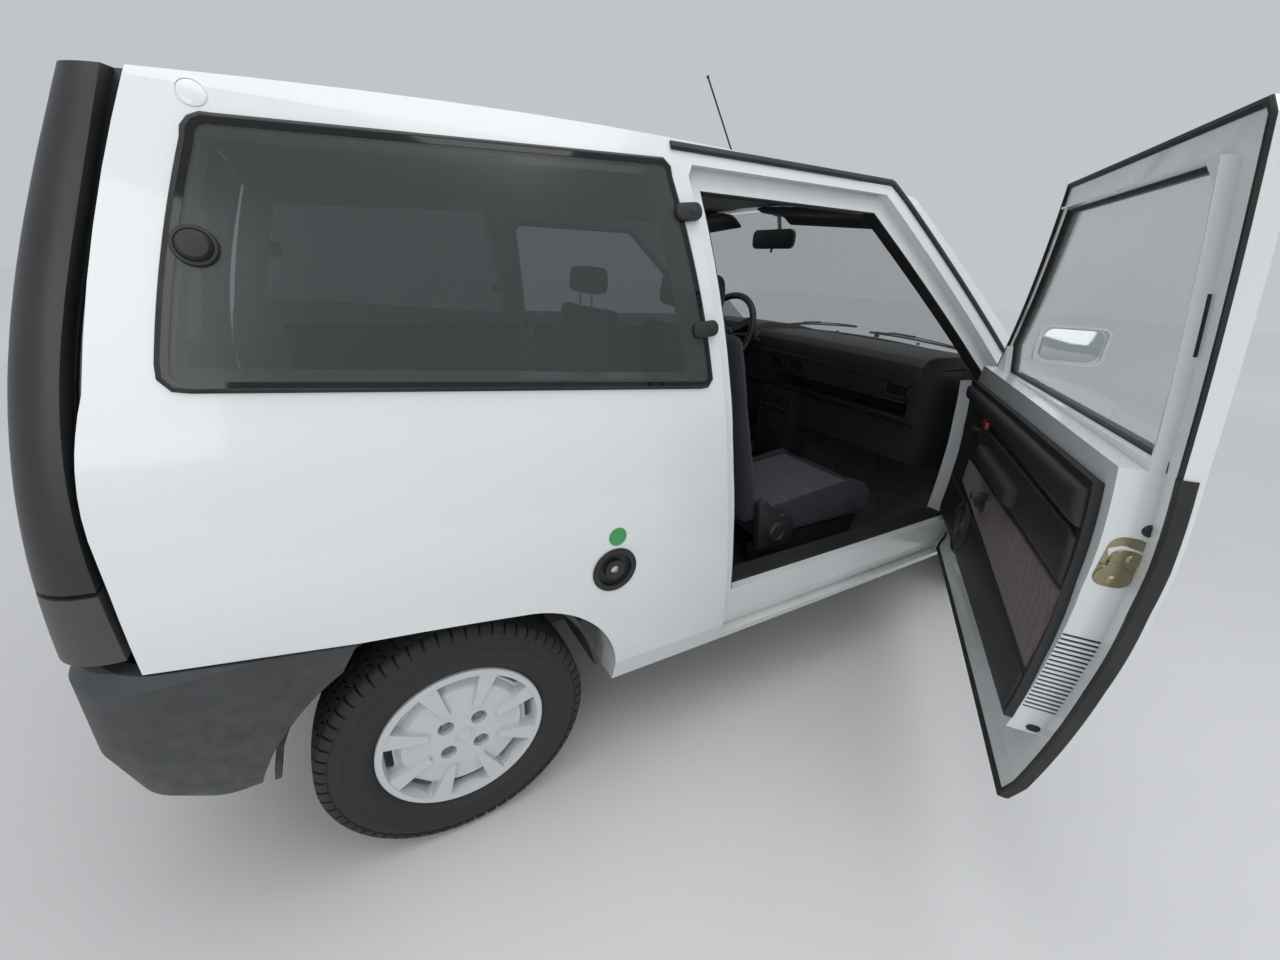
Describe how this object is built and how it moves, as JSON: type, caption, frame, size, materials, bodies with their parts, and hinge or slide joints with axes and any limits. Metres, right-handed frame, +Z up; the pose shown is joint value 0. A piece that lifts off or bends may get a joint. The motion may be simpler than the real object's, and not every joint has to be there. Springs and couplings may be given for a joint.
{
  "type": "small three-door city car",
  "caption": "Small three-door hatchback city car with its right door open, dark tail panel, steel wheels with plain covers and opening doors, bonnet and tailgate.",
  "frame": {"origin": "middle of the whole part's length and width, with the right door open, on the floor under the tyres", "axes": "+X forward, +Y to the car's left, +Z up"},
  "size_m": [3.3919, 2.2758, 1.7025],
  "materials": {
    "body_paint": "gloss",
    "roof_paint": "gloss",
    "dark_tail": "satin",
    "bumper_plastic": "textured",
    "black_plastic": "matte",
    "grille_plastic": "matte",
    "lamp_lens": "gloss",
    "head_lens": "gloss",
    "tinted_glass": "gloss",
    "clear_glass": "gloss",
    "underbody": "matte",
    "bare_metal": "matte",
    "engine_metal": "matte",
    "seat_fabric": "matte",
    "trim_fabric": "matte",
    "tyre_rubber": "matte",
    "cover_silver": "satin",
    "roof_cloth": "matte"
  },
  "bodies": {
    "chassis": {"aerial": "black_plastic", "bumper_front": "bumper_plastic", "bumper_rear": "bumper_plastic", "cowl_panel": "black_plastic", "dashboard": "black_plastic", "engine_block": "engine_metal", "exhaust": "bare_metal", "filler_cap": "black_plastic", "floor_pan": "underbody", "front_frame": "underbody", "front_suspension": "bare_metal", "fuel_tank": "underbody", "grille": "grille_plastic", "hand_controls": "black_plastic", "headlamps": "head_lens", "headlining": "roof_cloth", "pedals": "bare_metal", "quarter_glass": "tinted_glass", "rear_axle": "bare_metal", "rear_bench": "seat_fabric", "rear_trims": "black_plastic", "roof_panel": "roof_paint", "seat_left": "seat_fabric", "seat_right": "seat_fabric", "side_frame_left": "body_paint", "side_frame_right": "body_paint", "steering_column": "black_plastic", "tail_lamps": "bumper_plastic", "tail_lenses": "lamp_lens", "wheel_liners": "black_plastic", "windscreen": "clear_glass", "wing_left": "body_paint", "wing_right": "body_paint"},
    "door_left_body": {"door_left": "body_paint", "door_glass_left": "tinted_glass", "door_trim_left": "trim_fabric", "mirror_left": "body_paint", "door_handle_left": "black_plastic"},
    "knuckle_left_body": {"knuckle_left": "bare_metal"},
    "wheel_front_left_body": {"tyre_front_left": "tyre_rubber", "wheel_front_left": "cover_silver"},
    "wheel_rear_left_body": {"tyre_rear_left": "tyre_rubber", "wheel_rear_left": "cover_silver"},
    "door_right_body": {"door_right": "body_paint", "door_glass_right": "tinted_glass", "door_trim_right": "trim_fabric", "mirror_right": "body_paint", "door_handle_right": "black_plastic"},
    "knuckle_right_body": {"knuckle_right": "bare_metal"},
    "wheel_front_right_body": {"tyre_front_right": "tyre_rubber", "wheel_front_right": "cover_silver"},
    "wheel_rear_right_body": {"tyre_rear_right": "tyre_rubber", "wheel_rear_right": "cover_silver"},
    "tailgate_body": {"tailgate": "dark_tail", "tailgate_glass": "tinted_glass"},
    "bonnet_body": {"bonnet": "body_paint"},
    "steering_wheel_body": {"steering_wheel": "black_plastic"}
  },
  "joints": [
    {"name": "door_left_hinge", "type": "hinge", "parent": "chassis", "child": "door_left_body", "pos_m": [0.491, 0.98994, 0.6], "axis": [0, 0, 1], "range_deg": [-68, 0]},
    {"name": "door_right_hinge", "type": "hinge", "parent": "chassis", "child": "door_right_body", "pos_m": [0.491, -0.49006, 0.6], "axis": [0, 0, 1], "range_deg": [-37, 31]},
    {"name": "tailgate_hinge", "type": "hinge", "parent": "chassis", "child": "tailgate_body", "pos_m": [-1.436, 0.24994, 1.392], "axis": [0, 1, 0], "range_deg": [0, 82]},
    {"name": "bonnet_hinge", "type": "hinge", "parent": "chassis", "child": "bonnet_body", "pos_m": [0.689, 0.24994, 0.882], "axis": [0, -1, 0], "range_deg": [0, 55]},
    {"name": "steer_left", "type": "hinge", "parent": "chassis", "child": "knuckle_left_body", "pos_m": [0.998, 0.77994, 0.265], "axis": [0, 0, 1], "range_deg": [-30, 30]},
    {"name": "steer_right", "type": "hinge", "parent": "chassis", "child": "knuckle_right_body", "pos_m": [0.998, -0.28006, 0.265], "axis": [0, 0, 1], "range_deg": [-30, 30]},
    {"name": "steering_wheel_turn", "type": "hinge", "parent": "chassis", "child": "steering_wheel_body", "pos_m": [0.224, 0.57994, 0.905], "axis": [-0.9063, 0, 0.4226], "range_deg": [-480, 480]},
    {"name": "wheel_rear_left_spin", "type": "hinge", "parent": "chassis", "child": "wheel_rear_left_body", "pos_m": [-1.161, 0.89494, 0.265], "axis": [0, 1, 0], "continuous": true},
    {"name": "wheel_rear_right_spin", "type": "hinge", "parent": "chassis", "child": "wheel_rear_right_body", "pos_m": [-1.161, -0.39506, 0.265], "axis": [0, 1, 0], "continuous": true},
    {"name": "wheel_front_left_spin", "type": "hinge", "parent": "knuckle_left_body", "child": "wheel_front_left_body", "pos_m": [0.998, 0.89494, 0.265], "axis": [0, 1, 0], "continuous": true},
    {"name": "wheel_front_right_spin", "type": "hinge", "parent": "knuckle_right_body", "child": "wheel_front_right_body", "pos_m": [0.998, -0.39506, 0.265], "axis": [0, 1, 0], "continuous": true}
  ],
  "couplings": [
    {"joint": "steer_right", "follows": "steer_left", "ratio": 1},
    {"joint": "steering_wheel_turn", "follows": "steer_left", "ratio": 16}
  ]
}
